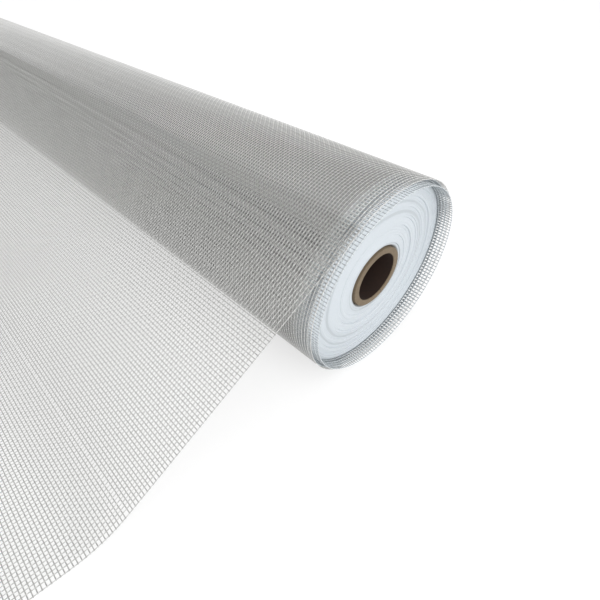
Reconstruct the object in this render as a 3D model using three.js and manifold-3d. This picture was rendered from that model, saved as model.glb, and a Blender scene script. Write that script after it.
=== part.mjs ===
// A fiberglass insect screen roll, lying on the floor with its free end pulled out in front.
// Millimetres, +Z up. The roll's axis runs along X, the end with the proud outer turns is at +X,
// and the free end of the screen comes down toward -Y and lies on the floor.
import * as THREE from 'three';
import { mergeVertices } from 'three/addons/utils/BufferGeometryUtils.js';
import Module from 'manifold-3d';

const wasm = await Module();
wasm.setup();

// Driving dimensions.
const screenWidth = 1000;
const sheetThickness = 0.4;
const rollDiameter = 92;
const tubeDiameter = 29;
const tubeWall = 3;
const tubeProud = 1;
const windClearance = 0.3;
const outerTurnsProud = 4.6;
const outerTurnsDepth = 1.4;
const middleTurnsProud = 2;
const middleTurnsDepth = 1.6;
const turnDrift = 0.5;
const peelAngle = 35.625;
const floorBend = 40;
const floorRun = 100;
const gridAcross = 12;
const gridRows = 7;
const gridBar = 11;
const screenFacets = 96;
const tubeFacets = 48;

const rollRadius = rollDiameter / 2;
const tubeRadius = tubeDiameter / 2;
const woundBore = tubeRadius + windClearance;
const facetAngle = (2 * Math.PI) / screenFacets;
const peel = THREE.MathUtils.degToRad(peelAngle);

/**
 * One closed solid from a geometry, with its loose corners joined.
 */
function toSolid(geometry) {
  const plain = geometry.clone();
  plain.deleteAttribute('normal');
  plain.deleteAttribute('uv');
  const joined = mergeVertices(plain, 1e-4);
  const mesh = new wasm.Mesh({
    numProp: 3,
    vertProperties: new Float32Array(joined.attributes.position.array),
    triVerts: new Uint32Array(joined.index.array),
  });
  mesh.merge();
  return new wasm.Manifold(mesh);
}

/**
 * A geometry from a solid.
 */
function toGeometry(solid) {
  const mesh = solid.getMesh();
  const positions = new Float32Array(mesh.numVert * 3);
  for (let i = 0; i < mesh.numVert; i += 1) {
    positions[3 * i] = mesh.vertProperties[mesh.numProp * i];
    positions[3 * i + 1] = mesh.vertProperties[mesh.numProp * i + 1];
    positions[3 * i + 2] = mesh.vertProperties[mesh.numProp * i + 2];
  }
  const geometry = new THREE.BufferGeometry();
  geometry.setAttribute('position', new THREE.BufferAttribute(positions, 3));
  geometry.setIndex(Array.from(mesh.triVerts));
  geometry.computeVertexNormals();
  return geometry;
}

/**
 * Turn a profile of [radius, place along the roll] pairs about the roll's axis.
 * The axis lies along X at the height of the roll's radius, and a facet is centred at the bottom.
 */
function turnAboutRoll(profile, facets) {
  const points = profile.map(([radius, along]) => new THREE.Vector2(radius, along));
  points.push(points[0].clone());
  const geometry = new THREE.LatheGeometry(points, facets);
  geometry.rotateY(Math.PI / facets);
  geometry.rotateZ(-Math.PI / 2);
  geometry.translate(0, 0, bottomFacetHeight());
  return geometry;
}

/**
 * Height of the axis at which the roll's bottom facet lies on the floor.
 */
function bottomFacetHeight() {
  return rollRadius * Math.cos(facetAngle / 2);
}

/**
 * The bands of turns from the tube outward. Every turn is one screen width long, and proud is how
 * far that band has slid toward the near end, counted from the turns next to the tube.
 */
function turnBands() {
  const proudStart = rollRadius - outerTurnsDepth;
  const middleStart = proudStart - middleTurnsDepth;
  const even = (middleStart - woundBore) / 4;
  return [
    { outer: woundBore + even, proud: 0 },
    { outer: woundBore + 2 * even, proud: turnDrift },
    { outer: woundBore + 3 * even, proud: 0 },
    { outer: middleStart, proud: turnDrift },
    { outer: proudStart, proud: middleTurnsProud },
    { outer: rollRadius, proud: outerTurnsProud },
  ];
}

/**
 * The wound turns as one turned body with its bore, its turns stepped on both ends.
 */
function woundTurns() {
  const nearSide = [];
  const farSide = [];
  let inner = woundBore;
  for (const band of turnBands()) {
    const near = screenWidth / 2 - outerTurnsProud + band.proud;
    farSide.push([inner, near - screenWidth], [band.outer, near - screenWidth]);
    nearSide.unshift([band.outer, near], [inner, near]);
    inner = band.outer;
  }
  return turnAboutRoll([...farSide, ...nearSide], screenFacets);
}

/**
 * Place across the floor of the centre of the bend that lays the free end down.
 */
function floorBendPlace() {
  const lift = Math.cos(peel) * (floorBend - bottomFacetHeight());
  return (lift - (rollRadius - sheetThickness) - floorBend) / Math.sin(peel);
}

/**
 * The free end of the screen: straight off the roll at the peel angle, bent onto the floor, then
 * flat along it to its cut end.
 */
function freeEnd() {
  const innerLine = rollRadius - sheetThickness;
  const out = new THREE.Vector2(-Math.sin(peel), Math.cos(peel));
  const axis = new THREE.Vector2(0, bottomFacetHeight());
  const bendCentre = new THREE.Vector2(floorBendPlace(), floorBend);
  const cutEnd = floorBendPlace() - floorRun;
  const steps = 6;
  const upper = [axis.clone().addScaledVector(out, rollRadius)];
  const lower = [axis.clone().addScaledVector(out, innerLine)];
  for (let i = 0; i <= steps; i += 1) {
    const angle = peel * (1 - i / steps);
    const down = new THREE.Vector2(Math.sin(angle), -Math.cos(angle));
    upper.push(bendCentre.clone().addScaledVector(down, floorBend - sheetThickness));
    lower.push(bendCentre.clone().addScaledVector(down, floorBend));
  }
  upper.push(new THREE.Vector2(cutEnd, sheetThickness));
  lower.push(new THREE.Vector2(cutEnd, 0));
  const outline = new THREE.Shape([...upper, ...lower.reverse()]);
  const strip = new THREE.ExtrudeGeometry(outline, { depth: screenWidth, bevelEnabled: false });
  strip.rotateX(Math.PI / 2);
  strip.rotateZ(Math.PI / 2);
  strip.translate(-screenWidth / 2, 0, 0);
  return strip;
}

/**
 * Blocks that cut a plain grid of openings through the free end. The grid stands for the weave,
 * whose own holes are about 1 mm across, and has the same share of open area.
 */
function gridOpenings() {
  const start = -rollRadius * Math.sin(peel);
  const length = start - (floorBendPlace() - floorRun);
  const across = (screenWidth - gridBar) / gridAcross;
  const along = (length - gridBar) / gridRows;
  const block = new THREE.BoxGeometry(across - gridBar, along - gridBar, rollDiameter);
  const blocks = [];
  for (let column = 0; column < gridAcross; column += 1) {
    for (let row = 0; row < gridRows; row += 1) {
      const x = (gridBar - screenWidth) / 2 + (column + 0.5) * across;
      const y = start - gridBar / 2 - (row + 0.5) * along;
      blocks.push(toSolid(block).translate(x, y, rollRadius - 1));
    }
  }
  return wasm.Manifold.union(blocks);
}

/**
 * The cardboard tube that the screen is wound on, a little proud of the turns at both ends.
 */
function coreTube() {
  const near = screenWidth / 2 - outerTurnsProud + tubeProud;
  const far = -screenWidth / 2 - outerTurnsProud - tubeProud;
  const inner = tubeRadius - tubeWall;
  return turnAboutRoll([[inner, far], [tubeRadius, far], [tubeRadius, near], [inner, near]], tubeFacets);
}

/**
 * A named piece with its own finish.
 */
function piece(name, geometry, colour, roughness) {
  const material = new THREE.MeshStandardMaterial({ color: colour, roughness, metalness: 0 });
  const mesh = new THREE.Mesh(geometry, material);
  mesh.name = name;
  return mesh;
}

const openStrip = toSolid(freeEnd()).subtract(gridOpenings());
const woven = toGeometry(toSolid(woundTurns()).add(openStrip));

const roll = new THREE.Group();
roll.name = 'insect_screen_roll';
roll.add(piece('fiberglass_screen', woven, 0xa9a8a2, 0.6));
roll.add(piece('cardboard_tube', toGeometry(toSolid(coreTube())), 0x9b8a76, 0.9));

export default roll;
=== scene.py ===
"""Looks of a fiberglass insect screen roll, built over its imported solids.

The screen is a plain weave of vinyl-coated glass yarns, wound on a cardboard tube. The outermost
turn, the free end and the turns that stand proud at the near end are real yarns. Under them the
wound layers are one turned body whose finish draws the turns below.
"""
import logging
import math
from collections.abc import Callable
from dataclasses import dataclass
from enum import IntEnum

import bmesh
import bpy
from mathutils import Matrix, Vector


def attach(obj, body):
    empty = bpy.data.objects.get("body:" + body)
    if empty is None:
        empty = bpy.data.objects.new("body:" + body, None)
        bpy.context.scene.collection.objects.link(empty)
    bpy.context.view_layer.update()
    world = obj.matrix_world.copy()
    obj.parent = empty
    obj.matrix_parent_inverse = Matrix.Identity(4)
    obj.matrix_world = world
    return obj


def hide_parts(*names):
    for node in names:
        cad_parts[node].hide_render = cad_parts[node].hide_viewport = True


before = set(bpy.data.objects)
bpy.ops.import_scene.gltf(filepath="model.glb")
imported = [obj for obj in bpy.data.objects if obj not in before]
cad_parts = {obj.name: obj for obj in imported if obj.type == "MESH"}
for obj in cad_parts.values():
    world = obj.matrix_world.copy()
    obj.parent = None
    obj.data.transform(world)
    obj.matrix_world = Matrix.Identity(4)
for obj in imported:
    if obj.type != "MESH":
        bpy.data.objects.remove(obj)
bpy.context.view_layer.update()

LOG = logging.getLogger("screen_roll")
MM = 0.001
AXIS_X = Vector((1.0, 0.0, 0.0))
BODY = "root"
SCREEN_NODE = "fiberglass_screen"
TUBE_NODE = "cardboard_tube"
WEAVE_MAP = "weave"

# Kinds of node that the finishes use often.
MATH = "ShaderNodeMath"
NOISE = "ShaderNodeTexNoise"
RANGE = "ShaderNodeMapRange"
MIX = "ShaderNodeMix"
BUMP = "ShaderNodeBump"
SPLIT = "ShaderNodeSeparateXYZ"
COLOURS = {"data_type": "RGBA"}
SMOOTH = {"interpolation_type": "SMOOTHSTEP"}

# A Mix node's sockets for colours: its share, its two colours and its result.
SHARE, FIRST, SECOND, RESULT = 0, 6, 7, 2

# A drawn thread rises from a little outside its edge to its flat middle, in half thicknesses.
THREAD_FOOT = 1.25
THREAD_TOP = 0.45

# Points closer than this are one point.
SAME_POINT = 0.001 * MM


# Colour and nodes


def linear(hex_colour: str) -> tuple[float, float, float, float]:
    """Turn an sRGB hex colour into linear RGBA.

    Args:
        hex_colour: Six hex digits, with or without a leading #.

    Returns:
        The linear colour with alpha 1.
    """
    digits = hex_colour.lstrip("#")
    channels = [int(digits[i : i + 2], 16) / 255 for i in (0, 2, 4)]
    turned = [c / 12.92 if c <= 0.04045 else ((c + 0.055) / 1.055) ** 2.4 for c in channels]
    return (turned[0], turned[1], turned[2], 1.0)


def add_node(
    tree: bpy.types.NodeTree,
    kind: str,
    settings: dict | None = None,
    links: dict | None = None,
) -> bpy.types.Node:
    """Add one node with its settings and its input links or values.

    Args:
        tree: The node tree that gets the node.
        kind: The node's bl_idname.
        settings: Attributes to set on the node.
        links: Input names or indices, each with a value, with an output socket to link, or with a
            node whose first output is linked.

    Returns:
        The new node.
    """
    node = tree.nodes.new(kind)
    for name, value in (settings or {}).items():
        setattr(node, name, value)
    for name, value in (links or {}).items():
        socket = node.inputs[name]
        source = value.outputs[0] if isinstance(value, bpy.types.Node) else value
        if isinstance(source, bpy.types.NodeSocket):
            tree.links.new(source, socket)
        else:
            socket.default_value = source
    return node


def thread_line(
    tree: bpy.types.NodeTree, place: object, pitch: float, width: float, shift: float
) -> bpy.types.Node:
    """Draw evenly spaced threads across one coordinate.

    Args:
        tree: The node tree that gets the nodes.
        place: The socket or node of the coordinate across the threads, in metres.
        pitch: The spacing of the threads, in metres.
        width: The thickness of a thread, in metres.
        shift: How far the row of threads is shifted, in spacings.

    Returns:
        A node that gives 1 along the middle of a thread and 0 between threads.
    """
    turned = add_node(tree, MATH, {"operation": "MULTIPLY_ADD"}, {0: place, 1: 1 / pitch, 2: shift})
    part = add_node(tree, MATH, {"operation": "FRACT"}, {0: turned})
    centred = add_node(tree, MATH, {"operation": "SUBTRACT"}, {0: part, 1: 0.5})
    away = add_node(tree, MATH, {"operation": "ABSOLUTE"}, {0: centred})
    half = width / pitch / 2
    span = {"Value": away, "From Min": half * THREAD_FOOT, "From Max": half * THREAD_TOP}
    return add_node(tree, RANGE, SMOOTH, span)


def new_surface(name: str) -> tuple[bpy.types.Material, bpy.types.NodeTree, bpy.types.Node]:
    """Start a material that has only its shader and its output.

    Args:
        name: The material's name.

    Returns:
        The material, its node tree and its shader node.
    """
    material = bpy.data.materials.new(name)
    material.use_nodes = True
    tree = material.node_tree
    tree.nodes.clear()
    shader = add_node(tree, "ShaderNodeBsdfPrincipled")
    add_node(tree, "ShaderNodeOutputMaterial", links={"Surface": shader.outputs[0]})
    return material, tree, shader


# Sizes


@dataclass(frozen=True)
class Weave:
    """Plain weave of 18 warps and 16 wefts to the inch."""

    warp_pitch: float = 25.4 * MM / 18
    weft_pitch: float = 25.4 * MM / 16
    yarn: float = 0.37 * MM
    sides: int = 6
    selvedge: tuple[float, ...] = (0.2 * MM, 2.1 * MM)


@dataclass(frozen=True)
class RollSizes:
    """The roll's sizes, in metres, as on its solids."""

    width: float = 1000 * MM
    radius: float = 46 * MM
    axis_height: float = 45.975 * MM
    layer: float = 0.4 * MM
    proud: float = 4.6 * MM
    tube_radius: float = 14.5 * MM
    tube_wall: float = 3 * MM
    tube_proud: float = 1 * MM
    wind_clearance: float = 0.3 * MM
    peel: float = math.radians(35.625)
    floor_bend: float = 40 * MM
    floor_run: float = 100 * MM

    @property
    def near(self) -> float:
        """Place of the outer turns' near edge along the roll."""
        return self.width / 2

    @property
    def face(self) -> float:
        """Place of the inner turns' near face along the roll."""
        return self.near - self.proud

    @property
    def axis(self) -> Vector:
        """A point on the roll's axis."""
        return Vector((0.0, 0.0, self.axis_height))

    @property
    def outward(self) -> Vector:
        """Direction out of the roll where the free end leaves it."""
        return Vector((0.0, -math.sin(self.peel), math.cos(self.peel)))

    @property
    def upward(self) -> Vector:
        """Direction up along the free end toward the roll."""
        return Vector((0.0, math.cos(self.peel), math.sin(self.peel)))

    @property
    def bend_centre(self) -> Vector:
        """Centre of the bend that lays the free end on the floor.

        Returns:
            The point of it that is midway along the roll.
        """
        line = self.radius - self.layer + self.floor_bend
        across = math.cos(self.peel) * (self.floor_bend - self.axis_height) - line
        return Vector((0.0, across / math.sin(self.peel), self.floor_bend))


SIZES = RollSizes()
WEAVE = Weave()


# Finishes


class Lie(IntEnum):
    """Which way a yarn lies, as its slot of material on a piece of both."""

    WARP = 0
    WEFT = 1


class BodySlot(IntEnum):
    """Slots of material on the wound body."""

    BARREL = 0
    ENDS = 1


class TubeSlot(IntEnum):
    """Slots of material on the tube."""

    BOARD = 0
    LINING = 1


@dataclass(frozen=True)
class CoatedYarn:
    """Glass yarn with a vinyl coat: a smooth light grey thread with a soft satin shine.

    In a plain weave each warp rides over one weft and under the next, so its crowns catch the
    light in dashes two wefts long, and the next warp's dashes fall between them.
    """

    name: str
    crown: str
    dip: str
    roughness: float = 0.45
    ior: float = 1.5

    def material(self) -> bpy.types.Material:
        """Build the yarn's material.

        Returns:
            The material.
        """
        material, tree, shader = new_surface(self.name)
        uv = add_node(tree, "ShaderNodeUVMap", {"uv_map": WEAVE_MAP})
        split = add_node(tree, SPLIT, {}, {0: uv})
        across, along = split.outputs[0], split.outputs[1]
        warps = add_node(tree, MATH, {"operation": "DIVIDE"}, {0: across, 1: WEAVE.warp_pitch})
        row = add_node(tree, MATH, {"operation": "FLOOR"}, {0: warps})
        wefts = add_node(tree, MATH, {"operation": "DIVIDE"}, {0: along, 1: WEAVE.weft_pitch})
        step = add_node(tree, MATH, {"operation": "ADD"}, {0: row, 1: wefts})
        turned = add_node(tree, MATH, {"operation": "MULTIPLY"}, {0: step, 1: math.pi})
        wave = add_node(tree, MATH, {"operation": "SINE"}, {0: turned})
        crown = add_node(tree, MATH, {"operation": "MULTIPLY_ADD"}, {0: wave, 1: 0.5, 2: 0.5})
        # Painted highlight: each crown is drawn lighter than the dips beside it.
        shades = {SHARE: crown, FIRST: linear(self.dip), SECOND: linear(self.crown)}
        colour = add_node(tree, MIX, COLOURS, shades).outputs[RESULT]
        tree.links.new(colour, shader.inputs["Base Color"])
        shader.inputs["Roughness"].default_value = self.roughness
        shader.inputs["IOR"].default_value = self.ior
        return material


@dataclass(frozen=True)
class WoundLayers:
    """The turns under the outermost one: the same weave seen through its holes, in its own shade.

    Two more turns are drawn, each a little askew to the other, so that their threads drift in and out of
    step as they do on a wound roll. Each deeper turn is drawn darker, and the holes under the lowest turn
    darkest: painted shade. Toward the near edge, where light comes in between the turns, they are drawn
    pale: painted light.
    """

    name: str = "wound_screen_layers"
    # Painted shade: the upper and lower turns are drawn darker than the yarn, and the holes under them
    # darkest.
    upper: str = "b0b0ae"
    upper_shift: float = 0.55
    lower: str = "8a8a88"
    lower_shift: float = 0.15
    gap_shade: str = "5c5c5b"
    # Painted light: the pale colour of the turns by the near edge.
    edge: str = "dfe5e6"
    skew: float = 0.006
    lit_depth: float = 8 * MM
    lit_share: float = 0.85
    sunk: float = 0.6
    relief: float = 0.2 * MM
    relief_strength: float = 0.5
    roughness: float = 0.55

    def material(self) -> bpy.types.Material:
        """Build the wound layers' material.

        Returns:
            The material.
        """
        material, tree, shader = new_surface(self.name)
        uv = add_node(tree, "ShaderNodeUVMap", {"uv_map": WEAVE_MAP})
        split = add_node(tree, SPLIT, {}, {0: uv})
        across, along = split.outputs[0], split.outputs[1]
        # Painted shade: the drawing starts from the darkest holes, and each turn above is lighter.
        colour: object = linear(self.gap_shade)
        raised: object = 0.0
        lower = (self.lower, -self.skew, self.lower_shift)
        upper = (self.upper, self.skew, self.upper_shift)
        for shade, skew, shift in (lower, upper):
            askew = add_node(tree, MATH, {"operation": "MULTIPLY_ADD"}, {0: along, 1: skew, 2: across})
            warps = thread_line(tree, askew, WEAVE.warp_pitch, WEAVE.yarn, shift)
            wefts = thread_line(tree, along, WEAVE.weft_pitch, WEAVE.yarn, shift / 2)
            threads = add_node(tree, MATH, {"operation": "MAXIMUM"}, {0: warps, 1: wefts})
            shades = {SHARE: threads, FIRST: colour, SECOND: linear(shade)}
            colour = add_node(tree, MIX, COLOURS, shades).outputs[RESULT]
            below = add_node(tree, MATH, {"operation": "MULTIPLY"}, {0: raised, 1: self.sunk})
            raised = add_node(tree, MATH, {"operation": "MAXIMUM"}, {0: below, 1: threads})
        # Painted light: paler toward the near edge, where light comes in between the turns.
        lit = {"Value": across, "From Min": SIZES.face - self.lit_depth, "From Max": SIZES.face}
        reach = add_node(tree, RANGE, SMOOTH, lit)
        share = add_node(tree, MATH, {"operation": "MULTIPLY"}, {0: reach, 1: self.lit_share})
        paler = {SHARE: share, FIRST: colour, SECOND: linear(self.edge)}
        colour = add_node(tree, MIX, COLOURS, paler).outputs[RESULT]
        relief = {"Strength": self.relief_strength, "Distance": self.relief, "Height": raised}
        bump = add_node(tree, BUMP, {}, relief)
        tree.links.new(bump.outputs[0], shader.inputs["Normal"])
        tree.links.new(colour, shader.inputs["Base Color"])
        shader.inputs["Roughness"].default_value = self.roughness
        return material


@dataclass(frozen=True)
class TurnEnds:
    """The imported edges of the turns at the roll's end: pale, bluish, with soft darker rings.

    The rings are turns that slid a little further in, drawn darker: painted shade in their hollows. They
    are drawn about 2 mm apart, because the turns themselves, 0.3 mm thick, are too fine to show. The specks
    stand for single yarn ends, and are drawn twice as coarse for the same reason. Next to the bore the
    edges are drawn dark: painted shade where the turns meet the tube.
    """

    name: str = "packed_turn_edges"
    pale: str = "c8ced3"
    # Painted shade: the colour of the sunk rings.
    ring: str = "a9b0b3"
    speck: str = "b4bbc0"
    # Painted shade next to the bore, where the turns meet the tube.
    shade: str = "57524b"
    ring_spacing: float = 2.381 * MM
    ring_shade_share: float = 0.45
    ring_span: tuple[float, float] = (0.57, 0.74)
    drift: float = 3.2 * MM
    drift_spacing: float = 26.316 * MM
    speck_spacing: float = 0.6667 * MM
    speck_share: float = 0.5
    shade_reach: float = 1.2 * MM
    shade_share: float = 0.75
    relief: float = 0.4 * MM
    relief_strength: float = 0.4
    roughness: float = 0.6

    def material(self) -> bpy.types.Material:
        """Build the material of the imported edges.

        Returns:
            The material.
        """
        material, tree, shader = new_surface(self.name)
        place = add_node(tree, "ShaderNodeTexCoord").outputs["Object"]
        on_axis = {"Vector": place, "Location": (0.0, 0.0, -SIZES.axis_height)}
        centred = add_node(tree, "ShaderNodeMapping", {}, on_axis)
        wander = {"Vector": centred, "Scale": 1 / self.drift_spacing, "Detail": 1.0}
        wandering = add_node(tree, NOISE, {}, wander)
        split = add_node(tree, SPLIT, {}, {0: centred})
        flat = add_node(
            tree, "ShaderNodeCombineXYZ", {}, {"Y": split.outputs[1], "Z": split.outputs[2]}
        )
        length = add_node(tree, "ShaderNodeVectorMath", {"operation": "LENGTH"}, {0: flat})
        radius = length.outputs["Value"]
        drifted = add_node(
            tree, MATH, {"operation": "MULTIPLY_ADD"}, {0: wandering, 1: self.drift, 2: radius}
        )
        rings = add_node(
            tree,
            NOISE,
            {"noise_dimensions": "1D"},
            {"W": drifted, "Scale": 1 / self.ring_spacing, "Detail": 2.0, "Roughness": 0.6},
        )
        lowest, highest = self.ring_span
        shown = add_node(
            tree,
            RANGE,
            SMOOTH,
            {"Value": rings, "From Min": lowest, "From Max": highest, "To Max": self.ring_shade_share},
        )
        fine = {"Vector": centred, "Scale": 1 / self.speck_spacing, "Detail": 1.0}
        grain = add_node(tree, NOISE, {}, fine)
        specks = add_node(tree, MATH, {"operation": "MULTIPLY"}, {0: grain, 1: self.speck_share})
        specked = {SHARE: specks, FIRST: linear(self.pale), SECOND: linear(self.speck)}
        base = add_node(tree, MIX, COLOURS, specked).outputs[RESULT]
        # Painted shade: the sunk rings are drawn darker.
        ringed = {SHARE: shown, FIRST: base, SECOND: linear(self.ring)}
        colour = add_node(tree, MIX, COLOURS, ringed).outputs[RESULT]
        # Painted shade: darker next to the bore, where the turns meet the tube.
        bore = SIZES.tube_radius + SIZES.wind_clearance
        close = {
            "Value": radius,
            "From Min": bore,
            "From Max": bore + self.shade_reach,
            "To Min": self.shade_share,
            "To Max": 0.0,
        }
        dim = add_node(tree, RANGE, SMOOTH, close)
        dimmed = {SHARE: dim, FIRST: colour, SECOND: linear(self.shade)}
        colour = add_node(tree, MIX, COLOURS, dimmed).outputs[RESULT]
        relief = {"Strength": self.relief_strength, "Distance": self.relief, "Height": shown}
        bump = add_node(tree, BUMP, {"invert": True}, relief)
        tree.links.new(bump.outputs[0], shader.inputs["Normal"])
        tree.links.new(colour, shader.inputs["Base Color"])
        shader.inputs["Roughness"].default_value = self.roughness
        return material


@dataclass(frozen=True)
class WoundBoard:
    """Spiral-wound cardboard: matte, with fine fibres and the slanting seam of its plies.

    The fibres are drawn about 1 mm apart, because real ones are too fine to show.
    """

    name: str
    light: str
    dark: str
    seam_pitch: float = 70 * MM
    seam_share: float = 0.02
    fibre_spacing: float = 1.111 * MM
    fibre_share: float = 0.6
    patch_spacing: float = 8.333 * MM
    patch_share: float = 0.4
    relief: float = 0.15 * MM
    relief_strength: float = 0.4
    roughness: float = 0.9

    def material(self) -> bpy.types.Material:
        """Build the cardboard's material.

        Returns:
            The material.
        """
        material, tree, shader = new_surface(self.name)
        place = add_node(tree, "ShaderNodeTexCoord").outputs["Object"]
        on_axis = {"Vector": place, "Location": (0.0, 0.0, -SIZES.axis_height)}
        centred = add_node(tree, "ShaderNodeMapping", {}, on_axis)
        split = add_node(tree, SPLIT, {}, {0: centred})
        sides = {0: split.outputs[1], 1: split.outputs[2]}
        angle = add_node(tree, MATH, {"operation": "ARCTAN2"}, sides)
        share = {0: angle, 1: 1 / (2 * math.pi), 2: 0.5}
        turn = add_node(tree, MATH, {"operation": "MULTIPLY_ADD"}, share)
        slant = {0: split.outputs[0], 1: 1 / self.seam_pitch, 2: turn}
        wound = add_node(tree, MATH, {"operation": "MULTIPLY_ADD"}, slant)
        seam = add_node(tree, MATH, {"operation": "FRACT"}, {0: wound})
        across = {"Value": seam, "From Min": 0.0, "From Max": self.seam_share, "To Min": 1.0, "To Max": 0.0}
        line = add_node(tree, RANGE, {}, across)
        fine = {"Vector": centred, "Scale": 1 / self.fibre_spacing, "Detail": 3.0, "Distortion": 0.6}
        fibre = add_node(tree, NOISE, {}, fine)
        coarse = {"Vector": centred, "Scale": 1 / self.patch_spacing, "Detail": 2.0}
        patch = add_node(tree, NOISE, {}, coarse)
        patches = add_node(tree, MATH, {"operation": "MULTIPLY"}, {0: patch, 1: self.patch_share})
        both = {0: fibre, 1: self.fibre_share, 2: patches}
        worn = add_node(tree, MATH, {"operation": "MULTIPLY_ADD"}, both)
        shade = add_node(tree, MATH, {"operation": "MAXIMUM"}, {0: worn, 1: line})
        shades = {SHARE: shade, FIRST: linear(self.light), SECOND: linear(self.dark)}
        colour = add_node(tree, MIX, COLOURS, shades).outputs[RESULT]
        relief = {"Strength": self.relief_strength, "Distance": self.relief, "Height": fibre}
        bump = add_node(tree, BUMP, {}, relief)
        tree.links.new(bump.outputs[0], shader.inputs["Normal"])
        tree.links.new(colour, shader.inputs["Base Color"])
        shader.inputs["Roughness"].default_value = self.roughness
        return material


@dataclass(frozen=True)
class LightTable:
    """A pale matte studio floor, lit a little from below so that shadows on it stay faint."""

    name: str = "light_table"
    colour: str = "a6a6a6"
    glow: float = 0.62
    roughness: float = 0.9

    def material(self) -> bpy.types.Material:
        """Build the floor's material.

        Returns:
            The material.
        """
        material, _, shader = new_surface(self.name)
        shader.inputs["Base Color"].default_value = linear(self.colour)
        shader.inputs["Emission Color"].default_value = linear("ffffff")
        shader.inputs["Emission Strength"].default_value = self.glow
        shader.inputs["Roughness"].default_value = self.roughness
        return material


# Shared mesh work


def ring_of(bm: bmesh.types.BMesh, centre: Vector, axis: Vector, radius: float, sides: int) -> list:
    """Start a yarn with a capped ring of points.

    Args:
        bm: The mesh being built.
        centre: The ring's centre.
        axis: The direction that the yarn sets off in.
        radius: Half the yarn's thickness.
        sides: The number of sides.

    Returns:
        The ring's edges.
    """
    turn = axis.to_track_quat("Z", "X").to_matrix().to_4x4()
    made = bmesh.ops.create_circle(
        bm, cap_ends=True, radius=radius, segments=sides, matrix=Matrix.Translation(centre) @ turn
    )
    points = set(made["verts"])
    return [e for e in bm.edges if e.verts[0] in points and e.verts[1] in points]


def run_on(bm: bmesh.types.BMesh, edges: list, way: Vector) -> list:
    """Carry a yarn straight on.

    Args:
        bm: The mesh being built.
        edges: The edges of its last ring.
        way: How far it goes, and where.

    Returns:
        The edges of its new last ring.
    """
    made = bmesh.ops.extrude_edge_only(bm, edges=edges)["geom"]
    points = [g for g in made if isinstance(g, bmesh.types.BMVert)]
    bmesh.ops.translate(bm, verts=points, vec=way)
    return [g for g in made if isinstance(g, bmesh.types.BMEdge)]


def bend_on(bm: bmesh.types.BMesh, edges: list, centre: Vector, angle: float, steps: int) -> list:
    """Carry a yarn on round a centre, about the roll's direction.

    Args:
        bm: The mesh being built.
        edges: The edges of its last ring.
        centre: The centre of the bend.
        angle: How far it turns, in radians.
        steps: The number of straight pieces.

    Returns:
        The edges of its new last ring.
    """
    made = bmesh.ops.spin(
        bm, geom=edges, cent=centre, axis=AXIS_X, angle=angle, steps=steps, use_duplicate=False
    )
    return [g for g in made["geom_last"] if isinstance(g, bmesh.types.BMEdge)]


def close_off(bm: bmesh.types.BMesh, edges: list) -> None:
    """Close a yarn's last ring with a flat end."""
    bmesh.ops.edgeloop_fill(bm, edges=edges)


def fan_out(bm: bmesh.types.BMesh, centre: Vector, angle: float, copies: int) -> None:
    """Repeat everything in the mesh round a centre.

    Args:
        bm: The mesh being built.
        centre: The centre that the copies turn about.
        angle: How far the last copy is turned.
        copies: The number of copies.
    """
    bmesh.ops.spin(
        bm,
        geom=bm.verts[:] + bm.edges[:] + bm.faces[:],
        cent=centre,
        axis=AXIS_X,
        angle=angle,
        steps=copies,
        use_duplicate=True,
    )


def spin_round(bm: bmesh.types.BMesh, geometry: list, centre: Vector, steps: int) -> None:
    """Turn an outline once round the roll's direction and close it on itself.

    Args:
        bm: The mesh being built.
        geometry: The outline's points and edges.
        centre: The centre that it turns about.
        steps: The number of straight pieces in the turn.
    """
    bmesh.ops.spin(
        bm,
        geom=geometry,
        cent=centre,
        axis=AXIS_X,
        angle=2 * math.pi,
        steps=steps,
        use_merge=True,
        use_duplicate=False,
    )


def take_in(bm: bmesh.types.BMesh, mesh: bpy.types.Mesh) -> None:
    """Add a mesh to the one being built, and drop it from the file."""
    bm.from_mesh(mesh)
    bpy.data.meshes.remove(mesh)


def row_of(mesh: bpy.types.Mesh, count: int, step: Vector) -> bpy.types.Mesh:
    """Repeat a mesh along a line.

    Args:
        mesh: The mesh to repeat. It is used up.
        count: How many there are in the row.
        step: From each to the next.

    Returns:
        The mesh of the whole row.
    """
    carrier = bpy.data.objects.new("row_carrier", mesh)
    bpy.context.scene.collection.objects.link(carrier)
    row = carrier.modifiers.new("row", "ARRAY")
    row.count = count
    row.use_relative_offset = False
    row.use_constant_offset = True
    row.constant_offset_displace = step
    bpy.context.view_layer.update()
    shown = carrier.evaluated_get(bpy.context.evaluated_depsgraph_get())
    made = bpy.data.meshes.new_from_object(shown)
    bpy.data.objects.remove(carrier)
    bpy.data.meshes.remove(mesh)
    return made


def to_mesh(bm: bmesh.types.BMesh, name: str, outward: bool = True) -> bpy.types.Mesh:
    """Turn a finished bmesh into a mesh.

    Args:
        bm: The mesh being built. It is freed.
        name: The mesh's name.
        outward: Whether its faces are turned outward first.

    Returns:
        The mesh.
    """
    if outward:
        bmesh.ops.recalc_face_normals(bm, faces=bm.faces[:])
    mesh = bpy.data.meshes.new(name)
    bm.to_mesh(mesh)
    bm.free()
    return mesh


def place_piece(name: str, mesh: bpy.types.Mesh, materials: list) -> bpy.types.Object:
    """Put a mesh in the scene as a piece of the object, shaded smooth.

    Args:
        name: The piece's name.
        mesh: Its mesh, in place.
        materials: Its materials in the order of their slots.

    Returns:
        The object.
    """
    for material in materials:
        mesh.materials.append(material)
    mesh.shade_smooth()
    mesh.name = name
    piece = bpy.data.objects.new(name, mesh)
    bpy.context.scene.collection.objects.link(piece)
    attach(piece, BODY)
    LOG.info("%s: %d faces", name, len(mesh.polygons))
    return piece


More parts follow.
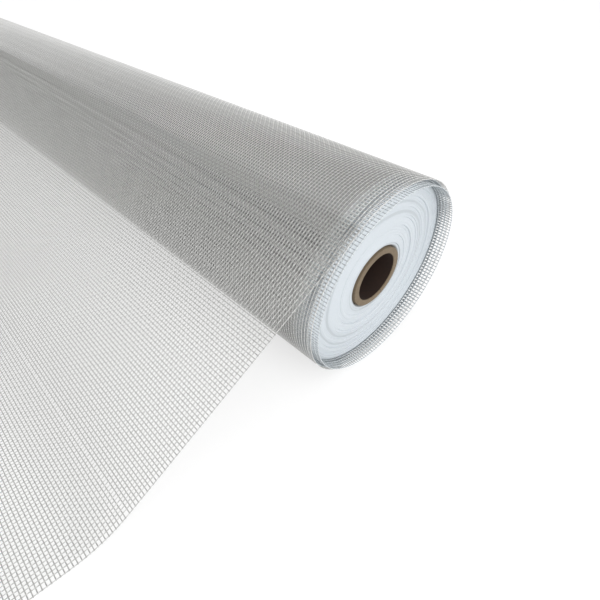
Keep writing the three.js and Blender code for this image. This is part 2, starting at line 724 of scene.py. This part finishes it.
def weave_map(mesh: bpy.types.Mesh, along: Callable[[Vector], float]) -> None:
    """Give a mesh the weave's own coordinates: across the warps, and along them.

    Args:
        mesh: The mesh.
        along: Gives the distance along a warp for a point.
    """
    layer = mesh.uv_layers.new(name=WEAVE_MAP)
    points = [(v.co.x, along(v.co)) for v in mesh.vertices]
    for loop in mesh.loops:
        layer.data[loop.index].uv = points[loop.vertex_index]


def round_roll(point: Vector) -> float:
    """Distance round the roll's surface from its top to a point's direction."""
    return SIZES.radius * math.atan2(point.y, point.z - SIZES.axis_height)


# Pieces


@dataclass(frozen=True)
class Slide:
    """How far the ridges of turns slid along the roll, as the sum of a quick and a slow wave."""

    quick: float
    quick_step: float
    slow: float
    slow_step: float
    slow_start: float

    def at(self, ridge: int) -> float:
        """Slide of one ridge, counted from the first."""
        quick = self.quick * math.sin(self.quick_step * ridge)
        return quick + self.slow * math.sin(self.slow_step * ridge + self.slow_start)


@dataclass
class WoundBody:
    """The wound turns below the outermost one, as one turned body with its bore.

    Both ends are cut in ridges, each a packet of about four turns that slid together, because
    single turns are too fine to show. Each ridge has slid along by its own slide, and falls off
    outward by its lip.
    """

    sizes: RollSizes
    under: float = 0.8 * MM
    steps: int = 144
    proud_depth: float = 3.0 * MM
    proud_root: float = 0.4 * MM
    ridge: float = 1.15 * MM
    ridge_share: float = 0.82
    ridge_lip: float = 0.16 * MM
    bore_dip: float = 0.3 * MM
    bore_band: float = 0.6 * MM
    rim_dip: float = 0.1 * MM
    near_slide: Slide = Slide(0.22 * MM, 1.7, 0.2 * MM, 0.61, 1.0)
    far_ridge_share: float = 0.8
    far_lip: float = 0.1 * MM
    far_band: float = 0.5 * MM
    far_rim_dip: float = 0.2 * MM
    far_slide: Slide = Slide(0.2 * MM, 1.9, 0.15 * MM, 0.7, 2.0)
    end_depth: float = 1.0 * MM
    sharp: float = math.radians(35)

    def near_ridges(self, near: float, bore: float, step_in: float) -> list[tuple[float, float]]:
        """Ridges of turns on the near end, from the tube out.

        Args:
            near: Place of the near face.
            bore: Radius of the bore.
            step_in: Radius at which the proud turns start.

        Returns:
            Pairs of place and radius.
        """
        line = [(near - self.bore_dip, bore)]
        radius, count = bore + self.bore_band, 0
        while radius < step_in - self.ridge:
            place = near + self.near_slide.at(count)
            line.append((place, radius))
            line.append((place - self.ridge_lip, radius + self.ridge_share * self.ridge))
            radius += self.ridge
            count += 1
        return line + [(near - self.rim_dip, step_in)]

    def far_ridges(self, far: float, bore: float, step_in: float) -> list[tuple[float, float]]:
        """Ridges of turns on the far end, from the proud turns in.

        Args:
            far: Place of the far face.
            bore: Radius of the bore.
            step_in: Radius at which the proud turns end.

        Returns:
            Pairs of place and radius.
        """
        line = [(far + self.far_rim_dip, step_in)]
        radius, count = step_in - self.far_band, 0
        while radius > bore + self.ridge:
            place = far + self.far_slide.at(count)
            line.append((place + self.far_lip, radius))
            line.append((place, radius - self.far_ridge_share * self.ridge))
            radius -= self.ridge
            count += 1
        return line + [(far + self.bore_dip, bore)]

    def profile(self) -> list[tuple[float, float]]:
        """Outline of the body as places along the roll with their radii.

        Returns:
            Pairs of place and radius, from the near bore edge out and back to the far one.
        """
        s = self.sizes
        bore = s.tube_radius + s.wind_clearance
        outer = s.radius - self.under
        step_in = s.radius - self.proud_depth
        near, far = s.face, s.face - s.width
        proud = [(near - self.proud_root, step_in), (near - self.proud_root, outer)]
        proud += [(far + s.proud, outer), (far + s.proud, step_in)]
        return self.near_ridges(near, bore, step_in) + proud + self.far_ridges(far, bore, step_in)

    def build(self) -> bpy.types.Object:
        """Build the turned body and dress it.

        Returns:
            The piece.
        """
        bm = bmesh.new()
        axis = self.sizes.axis
        outline = [bm.verts.new((x, 0.0, axis.z + r)) for x, r in self.profile()]
        edges = [bm.edges.new(pair) for pair in zip(outline, outline[1:] + outline[:1])]
        spin_round(bm, outline + edges, axis, self.steps)
        bmesh.ops.remove_doubles(bm, verts=bm.verts[:], dist=SAME_POINT)
        bmesh.ops.recalc_face_normals(bm, faces=bm.faces[:])
        for face in bm.faces:
            round_it = abs(face.normal.x) < 0.5
            behind = face.calc_center_median().x < self.sizes.face - self.end_depth
            face.material_index = BodySlot.BARREL if round_it and behind else BodySlot.ENDS
        mesh = to_mesh(bm, "wound_screen", outward=False)
        weave_map(mesh, round_roll)
        looks = [WoundLayers().material(), TurnEnds().material()]
        piece = place_piece("wound_screen", mesh, looks)
        mesh.set_sharp_from_angle(angle=self.sharp)
        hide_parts(SCREEN_NODE)
        return piece


@dataclass
class YarnWork:
    """Makes single yarns of the screen with their places in the weave.

    The warps' outsides lie just inside the roll's radius, and the wefts' middles lie a little
    deeper than the warps'.
    """

    sizes: RollSizes
    weave: Weave
    inside: float = 0.02 * MM
    weft_sunk: float = 0.1 * MM

    @property
    def warp_line(self) -> float:
        """Radius of the warps' middle on the outermost turn."""
        return self.sizes.radius - self.weave.yarn / 2 - self.inside

    @property
    def weft_line(self) -> float:
        """Radius of the wefts' middle on the outermost turn."""
        return self.warp_line - self.weft_sunk

    def warp_places(self) -> list[float]:
        """Places along the roll of the selvedge warps at both edges.

        Returns:
            The places of the warps that are off the even spacing.
        """
        near, far = self.sizes.near, self.sizes.near - self.sizes.width
        return [near - s for s in self.weave.selvedge] + [far + s for s in self.weave.selvedge]

    @property
    def even_start(self) -> float:
        """Place of the first evenly spaced warp."""
        return self.sizes.near - self.weave.selvedge[-1] - self.weave.warp_pitch

    @property
    def even_count(self) -> int:
        """How many warps are evenly spaced."""
        room = self.sizes.width - 2 * self.weave.selvedge[-1]
        return int(room / self.weave.warp_pitch) - 1

    @property
    def half_turns(self) -> tuple[Vector, Vector]:
        """Centres of the two half turns that wind a yarn one layer inward."""
        return self.sizes.axis, self.sizes.axis - self.sizes.outward * (self.sizes.layer / 2)


@dataclass
class OuterTurn(YarnWork):
    """The outermost turn of the screen, from the peel line once round and under the free end.

    Each warp goes once round the roll, so it has more straight pieces than other repeated yarns:
    with fewer, the barrel would show corners.
    """

    steps: int = 24
    sides: int = 4
    wefts: int = 91

    def warp(self, place: float) -> bpy.types.Mesh:
        """One warp of the turn.

        Args:
            place: Its place along the roll.

        Returns:
            Its mesh.
        """
        bm = bmesh.new()
        first, second = self.half_turns
        start = first + self.sizes.outward * self.warp_line + AXIS_X * place
        ring = ring_of(bm, start, self.sizes.upward, self.weave.yarn / 2, self.sides)
        ring = bend_on(bm, ring, first, -math.pi, self.steps)
        ring = bend_on(bm, ring, second, -math.pi, self.steps)
        close_off(bm, ring)
        return to_mesh(bm, "turn_warp")

    def weft_fan(self) -> bmesh.types.BMesh:
        """All the wefts of the turn.

        Returns:
            Their mesh.
        """
        first, second = self.half_turns
        both = bmesh.new()
        for centre, side in ((first, 1.0), (second, -1.0)):
            bm = bmesh.new()
            out = self.sizes.outward * side
            reach = self.weft_line if side > 0 else self.weft_line - self.sizes.layer / 2
            start = centre + out * reach + AXIS_X * self.sizes.near
            ring = ring_of(bm, start, -AXIS_X, self.weave.yarn / 2, self.sides)
            close_off(bm, run_on(bm, ring, -AXIS_X * self.sizes.width))
            fan_out(bm, centre, -math.pi * (self.wefts - 1) / self.wefts, self.wefts - 1)
            take_in(both, to_mesh(bm, "half_turn_wefts"))
        return both

    def build(self, warp_look: bpy.types.Material, weft_look: bpy.types.Material) -> None:
        """Build the turn as two lengths of warps and one set of wefts.

        Args:
            warp_look: The warps' material.
            weft_look: The wefts' material.
        """
        near_count = self.even_count // 2
        step = -AXIS_X * self.weave.warp_pitch
        far_start = self.even_start - near_count * self.weave.warp_pitch
        edge = len(self.weave.selvedge)
        near_edge, far_edge = self.warp_places()[:edge], self.warp_places()[edge:]
        halves = (
            ("outer_turn_warps_near", self.even_start, near_count, near_edge),
            ("outer_turn_warps_far", far_start, self.even_count - near_count, far_edge),
        )
        for name, start, count, extra in halves:
            bm = bmesh.new()
            take_in(bm, row_of(self.warp(start), count, step))
            for place in extra:
                take_in(bm, self.warp(place))
            mesh = to_mesh(bm, name, outward=False)
            weave_map(mesh, round_roll)
            place_piece(name, mesh, [warp_look])
        mesh = to_mesh(self.weft_fan(), "outer_turn_wefts")
        weave_map(mesh, round_roll)
        place_piece("outer_turn_wefts", mesh, [weft_look])


@dataclass
class FreeEnd(YarnWork):
    """The free end of the screen: straight off the roll, bent onto the floor, then flat."""

    bend_steps: int = 5

    @property
    def straight(self) -> float:
        """Length of the straight slope."""
        from_centre = self.sizes.bend_centre - self.sizes.axis
        return -from_centre.dot(self.sizes.upward)

    @property
    def length(self) -> float:
        """Length of the free end from the peel line to its cut end."""
        bend = self.sizes.floor_bend * self.sizes.peel
        return self.straight + bend + self.sizes.floor_run

    def warp(self, place: float) -> bpy.types.Mesh:
        """One warp of the free end, from the floor up to the peel line.

        Args:
            place: Its place along the roll.

        Returns:
            Its mesh.
        """
        s = self.sizes
        bm = bmesh.new()
        drop = s.radius - self.warp_line
        centre = s.bend_centre
        low = centre + Vector((place, -s.floor_run, -(s.floor_bend - s.layer + drop)))
        ring = ring_of(bm, low, Vector((0.0, 1.0, 0.0)), self.weave.yarn / 2, self.weave.sides)
        ring = run_on(bm, ring, Vector((0.0, s.floor_run, 0.0)))
        ring = bend_on(bm, ring, centre, s.peel, self.bend_steps)
        close_off(bm, run_on(bm, ring, s.upward * self.straight))
        return to_mesh(bm, "free_warp")

    def weft_row(self, start: Vector, count: int, step: Vector) -> bpy.types.Mesh:
        """A row of wefts.

        Args:
            start: The near end of the first.
            count: How many there are.
            step: From each to the next.

        Returns:
            Their mesh.
        """
        bm = bmesh.new()
        ring = ring_of(bm, start, -AXIS_X, self.weave.yarn / 2, self.weave.sides)
        close_off(bm, run_on(bm, ring, -AXIS_X * self.sizes.width))
        return row_of(to_mesh(bm, "free_wefts"), count, step)

    def wefts(self) -> list[bpy.types.Mesh]:
        """All the wefts of the free end: on the slope, round the bend and on the floor.

        Returns:
            Their meshes.
        """
        s, pitch = self.sizes, self.weave.weft_pitch
        top = s.axis + s.outward * self.weft_line + AXIS_X * s.near
        on_slope = int(self.straight / pitch)
        slope = self.weft_row(top - s.upward * pitch, on_slope, -s.upward * pitch)
        drop = s.radius - self.weft_line
        reach = s.floor_bend - s.layer + drop
        bent = bmesh.new()
        foot = s.bend_centre + Vector((s.near, 0.0, -reach))
        ring = ring_of(bent, foot, -AXIS_X, self.weave.yarn / 2, self.weave.sides)
        close_off(bent, run_on(bent, ring, -AXIS_X * s.width))
        in_bend = int(reach * s.peel / pitch)
        fan_out(bent, s.bend_centre, in_bend * pitch / reach, in_bend)
        back = Vector((0.0, -pitch, 0.0))
        floor = self.weft_row(foot + back, int(s.floor_run / pitch), back)
        return [slope, to_mesh(bent, "bend_wefts"), floor]

    def along(self, point: Vector) -> float:
        """Distance of a point from the roll's top, along the weave and down the free end.

        Args:
            point: A point of the free end.

        Returns:
            The distance.
        """
        s = self.sizes
        on_roll = s.radius * s.peel
        slope = (point - s.axis).dot(s.upward)
        if -slope < self.straight:
            return on_roll - slope
        return on_roll + self.straight + s.floor_bend * s.peel + s.bend_centre.y - point.y

    def build(self, warp_look: bpy.types.Material, weft_look: bpy.types.Material) -> bpy.types.Object:
        """Build the free end as one sheet of yarns.

        Args:
            warp_look: The warps' material.
            weft_look: The wefts' material.

        Returns:
            The piece.
        """
        bm = bmesh.new()
        step = -AXIS_X * self.weave.warp_pitch
        take_in(bm, row_of(self.warp(self.even_start), self.even_count, step))
        for place in self.warp_places():
            take_in(bm, self.warp(place))
        warp_faces = len(bm.faces)
        for mesh in self.wefts():
            take_in(bm, mesh)
        bm.faces.ensure_lookup_table()
        for face in bm.faces[warp_faces:]:
            face.material_index = Lie.WEFT
        mesh = to_mesh(bm, "free_end", outward=False)
        weave_map(mesh, self.along)
        piece = place_piece("free_end", mesh, [warp_look, weft_look])
        self.length
        return piece


@dataclass
class ProudTurns(YarnWork):
    """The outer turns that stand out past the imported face, as open weave.

    Each turn has its depth below the outermost one, and its edge lies that far behind the
    outermost one's, or past it where that is less than nothing.
    """

    depths: tuple[float, ...] = (0.45 * MM, 1.1 * MM, 2.0 * MM)
    ends: tuple[float, ...] = (1.5 * MM, 3.0 * MM, -2.2 * MM)
    root: float = 8.0 * MM
    steps: int = 48
    sides: int = 4

    def turn(self, radius: float, end: float) -> bmesh.types.BMesh:
        """One proud turn.

        Args:
            radius: The radius of its threads.
            end: How far its edge lies behind the outermost turn's edge.

        Returns:
            Its mesh.
        """
        near = self.sizes.near - end
        axis = self.sizes.axis
        bm = bmesh.new()
        places = [near - s for s in self.weave.selvedge]
        while places[-1] > self.sizes.near - self.root:
            places.append(places[-1] - self.weave.warp_pitch)
        for place in places:
            start = axis + Vector((place, 0.0, radius))
            ring = ring_of(bm, start, Vector((0.0, 1.0, 0.0)), self.weave.yarn / 2, self.sides)
            caps = list({f for e in ring for f in e.link_faces})
            bmesh.ops.delete(bm, geom=caps, context="FACES_ONLY")
            spin_round(bm, ring, axis, self.steps)
        bmesh.ops.remove_doubles(bm, verts=bm.verts[:], dist=SAME_POINT)
        count = round(2 * math.pi * radius / self.weave.weft_pitch)
        fan = bmesh.new()
        start = axis + Vector((near, 0.0, radius - self.weft_sunk))
        ring = ring_of(fan, start, -AXIS_X, self.weave.yarn / 2, self.sides)
        close_off(fan, run_on(fan, ring, AXIS_X * (self.sizes.near - self.root - near)))
        fan_out(fan, axis, 2 * math.pi * (count - 1) / count, count - 1)
        for face in fan.faces:
            face.material_index = Lie.WEFT
        take_in(bm, to_mesh(fan, "proud_wefts"))
        return bm

    def build(self, warp_look: bpy.types.Material, weft_look: bpy.types.Material) -> bpy.types.Object:
        """Build all the proud turns as one piece.

        Args:
            warp_look: The warps' material.
            weft_look: The wefts' material.

        Returns:
            The piece.
        """
        both = bmesh.new()
        for depth, end in zip(self.depths, self.ends):
            take_in(both, to_mesh(self.turn(self.warp_line - depth, end), "proud_turn"))
        mesh = to_mesh(both, "proud_turns", outward=False)
        weave_map(mesh, round_roll)
        return place_piece("proud_turns", mesh, [warp_look, weft_look])


@dataclass
class CoreTube:
    """The cardboard tube, its edges a little worn round."""

    sizes: RollSizes
    steps: int = 96
    edge: float = 0.35 * MM
    edge_angle: float = math.radians(60)
    lining_reach: float = 1.2 * MM
    sharp: float = math.radians(40)

    def build(self) -> bpy.types.Object:
        """Build the tube and dress it.

        Returns:
            The piece.
        """
        s = self.sizes
        near = s.face + s.tube_proud
        far = s.face - s.width - s.tube_proud
        outer, inner = s.tube_radius, s.tube_radius - s.tube_wall
        bm = bmesh.new()
        corners = [(near, inner), (near, outer), (far, outer), (far, inner)]
        outline = [bm.verts.new((x, 0.0, s.axis_height + r)) for x, r in corners]
        edges = [bm.edges.new(pair) for pair in zip(outline, outline[1:] + outline[:1])]
        spin_round(bm, outline + edges, s.axis, self.steps)
        bmesh.ops.remove_doubles(bm, verts=bm.verts[:], dist=SAME_POINT)
        bmesh.ops.recalc_face_normals(bm, faces=bm.faces[:])
        joined = [e for e in bm.edges if len(e.link_faces) == 2]
        rims = [e for e in joined if e.calc_face_angle(0.0) > self.edge_angle]
        bmesh.ops.bevel(
            bm,
            geom=rims,
            offset=self.edge,
            segments=2,
            profile=0.5,
            affect="EDGES",
            material=-1,
        )
        middle = s.tube_radius - s.tube_wall / 2
        for face in bm.faces:
            centre = face.calc_center_median()
            reach = math.hypot(centre.y, centre.z - s.axis_height)
            inside = reach < middle - self.lining_reach and abs(face.normal.x) < 0.3
            face.material_index = TubeSlot.LINING if inside else TubeSlot.BOARD
        mesh = to_mesh(bm, "core_tube")
        looks = [
            WoundBoard("wound_cardboard", "85765f", "584b3d").material(),
            WoundBoard("wound_cardboard_lining", "301a0c", "100602").material(),
        ]
        piece = place_piece("core_tube", mesh, looks)
        mesh.set_sharp_from_angle(angle=self.sharp)
        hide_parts(TUBE_NODE)
        return piece


@dataclass(frozen=True)
class SoftLight:
    """A large square light."""

    name: str
    place: tuple[float, float, float]
    size: float
    power: float

    def add(self, aim: Vector) -> None:
        """Hang the light and point it at a place.

        Args:
            aim: The place.
        """
        data = bpy.data.lights.new(self.name, "AREA")
        data.size = self.size
        data.energy = self.power
        light = bpy.data.objects.new(self.name, data)
        light.location = self.place
        light.rotation_euler = (aim - Vector(self.place)).to_track_quat("-Z", "Y").to_euler()
        bpy.context.scene.collection.objects.link(light)


@dataclass(frozen=True)
class Studio:
    """The floor, the lights and the camera."""

    eye: tuple[float, ...] = (0.57979, -0.16457, 0.17547)
    right: tuple[float, ...] = (0.60086, 0.79914, -0.01819)
    back: tuple[float, ...] = (0.65112, -0.47612, 0.59106)
    lens: float = 29.08
    sensor: float = 36.0
    nearest: float = 0.01
    shift: tuple[float, float] = (0.1952, -0.0586)
    aim: tuple[float, ...] = (0.35, 0.0, 0.04)
    sky: float = 0.85
    floor_reach: float = 12.0
    floor_drop: float = 0.2 * MM
    key: SoftLight = SoftLight("key", (0.9, -0.7, 1.6), 1.4, 9.0)
    fill: SoftLight = SoftLight("fill", (1.6, -0.1, 0.4), 1.0, 6.0)

    def add_camera(self) -> None:
        """Set the camera where the photograph was taken from."""
        data = bpy.data.cameras.new("camera")
        data.lens = self.lens
        data.sensor_width = self.sensor
        data.shift_x, data.shift_y = self.shift
        data.clip_start = self.nearest
        camera = bpy.data.objects.new("camera", data)
        right, back = Vector(self.right), Vector(self.back)
        turn = Matrix((right, back.cross(right), back)).transposed().to_4x4()
        camera.matrix_world = Matrix.Translation(self.eye) @ turn
        bpy.context.scene.collection.objects.link(camera)
        bpy.context.scene.camera = camera

    def add_floor(self) -> None:
        """Lay a wide pale floor."""
        bm = bmesh.new()
        bmesh.ops.create_grid(bm, x_segments=1, y_segments=1, size=self.floor_reach)
        mesh = to_mesh(bm, "floor", outward=False)
        mesh.materials.append(LightTable().material())
        floor = bpy.data.objects.new("floor", mesh)
        floor.location.z = -self.floor_drop
        bpy.context.scene.collection.objects.link(floor)

    def add_sky(self) -> None:
        """Surround the scene with even white light."""
        world = bpy.data.worlds.new("studio_world")
        world.use_nodes = True
        background = world.node_tree.nodes["Background"]
        background.inputs["Color"].default_value = linear("ffffff")
        background.inputs["Strength"].default_value = self.sky
        bpy.context.scene.world = world

    def build(self) -> None:
        """Build the whole studio."""
        bpy.context.scene.view_settings.view_transform = "Standard"
        self.add_sky()
        self.key.add(Vector(self.aim))
        self.fill.add(Vector(self.aim))
        self.add_floor()
        self.add_camera()


def main() -> None:
    """Build every piece of the roll, then the studio."""
    logging.basicConfig(level=logging.INFO, format="%(name)s: %(message)s")
    # On the barrel the warps are the brightest threads, and the wefts lie a little in their shade.
    warps = CoatedYarn("coated_glass_warp", "e4e4e2", "cecece").material()
    wefts = CoatedYarn("coated_glass_weft", "b6b6b4", "a4a4a2").material()
    # The same threads of the free end are drawn darker, as they look against the white floor: painted
    # shade.
    free_warps = CoatedYarn("shaded_free_glass_warp", "c8c8c6", "aaaaa8").material()
    free_wefts = CoatedYarn("shaded_free_glass_weft", "a2a2a0", "929290").material()
    # At the collar light comes through from both sides, so its warps are drawn pale and bluish: painted
    # light. The ends of its wefts are drawn as darker teeth over the white face: painted shade.
    pale = CoatedYarn("coated_glass_edge", "dadfe1", "ccd1d4").material()
    teeth = CoatedYarn("shaded_glass_edge_weft", "a4aaae", "92989c").material()
    WoundBody(SIZES).build()
    OuterTurn(SIZES, WEAVE).build(warps, wefts)
    FreeEnd(SIZES, WEAVE).build(free_warps, free_wefts)
    ProudTurns(SIZES, WEAVE).build(pale, teeth)
    CoreTube(SIZES).build()
    Studio().build()


if __name__ == "__main__":
    main()
